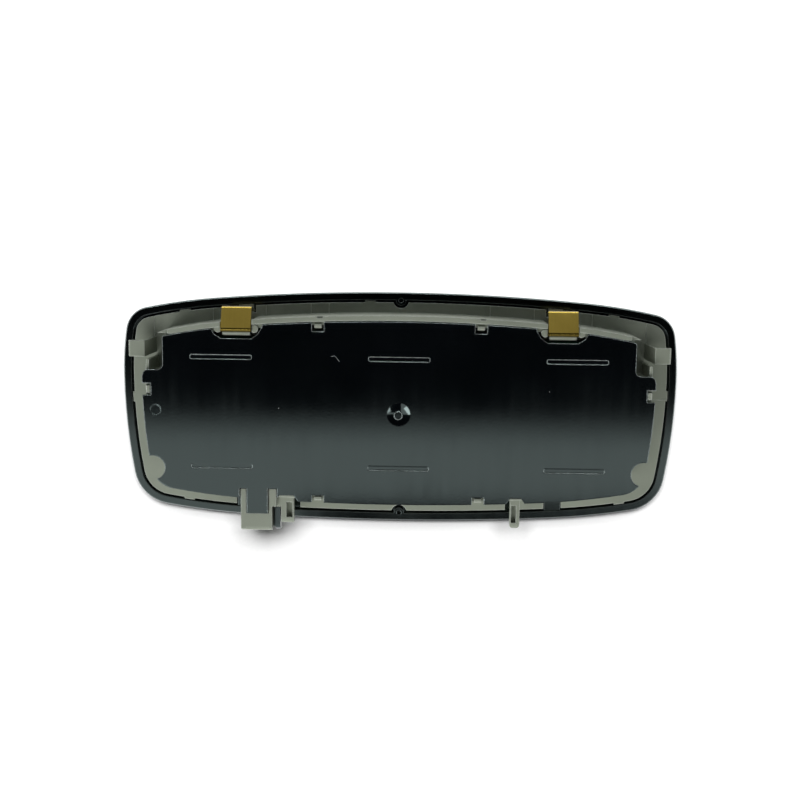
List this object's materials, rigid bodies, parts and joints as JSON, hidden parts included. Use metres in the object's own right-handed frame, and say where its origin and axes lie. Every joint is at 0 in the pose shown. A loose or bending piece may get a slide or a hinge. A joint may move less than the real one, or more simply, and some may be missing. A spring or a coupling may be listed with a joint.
{
  "type": "car dome light",
  "caption": "Headliner lamp with opal dome lens, reading lenses and push buttons, held by spring clips, hooks and end arms, with a rear cover and a wiring socket.",
  "frame": {"origin": "middle of the bezel's front face, on the plane that the lamp lies on", "axes": "+X along the lamp, +Y across it towards the spring clips, +Z from the front face to the rear cover"},
  "size_m": [0.22, 0.093, 0.0226],
  "materials": {
    "bezel": "black, fine grain in front and satin behind",
    "dome_lens": "opal, semi-matt",
    "reading_lens": "clear, polished",
    "button": "black, fine grain",
    "plunger": "natural, plain",
    "carrier": "grey-green, satin",
    "cover": "black, polished",
    "clip": "bronze-coloured plating, satin",
    "light_box": "white, matt",
    "reflector": "bright metal coating",
    "board": "green lacquer",
    "led": "yellow phosphor",
    "switch": "black, matt",
    "header": "black, matt",
    "pin": "tin-plated, bright",
    "chip": "black, matt",
    "capacitor": "bright can",
    "choke": "dark grey, matt",
    "screw": "zinc-plated"
  },
  "bodies": {
    "lamp": {"front_bezel": "bezel", "dome_lens": "dome_lens", "reading_lens_left": "reading_lens", "reading_lens_right": "reading_lens", "carrier_housing": "carrier", "rear_cover": "cover", "spring_clip_left": "clip", "spring_clip_right": "clip", "dome_light_box": "light_box", "reading_reflector_left": "reflector", "reading_reflector_right": "reflector", "circuit_board": "board", "dome_leds": "led", "reading_leds": "led", "button_leds": "led", "switch_bodies": "switch", "connector_header": "header", "connector_pins": "pin", "driver_chips": "chip", "capacitors": "capacitor", "choke_coil": "choke", "power_diodes": "chip", "board_screws": "screw"},
    "left_button": {"button_left": "button", "switch_plunger_left": "plunger"},
    "centre_button": {"button_centre": "button", "switch_plunger_centre": "plunger"},
    "right_button": {"button_right": "button", "switch_plunger_right": "plunger"}
  },
  "joints": [
    {"name": "left_press", "type": "slide", "parent": "lamp", "child": "left_button", "axis": [0, 0, 1], "range_m": [0, 0.0012], "stiffness_N_per_m": 500, "springref_m": -0.002},
    {"name": "centre_press", "type": "slide", "parent": "lamp", "child": "centre_button", "axis": [0, 0, 1], "range_m": [0, 0.0012], "stiffness_N_per_m": 500, "springref_m": -0.002},
    {"name": "right_press", "type": "slide", "parent": "lamp", "child": "right_button", "axis": [0, 0, 1], "range_m": [0, 0.0012], "stiffness_N_per_m": 500, "springref_m": -0.002}
  ]
}
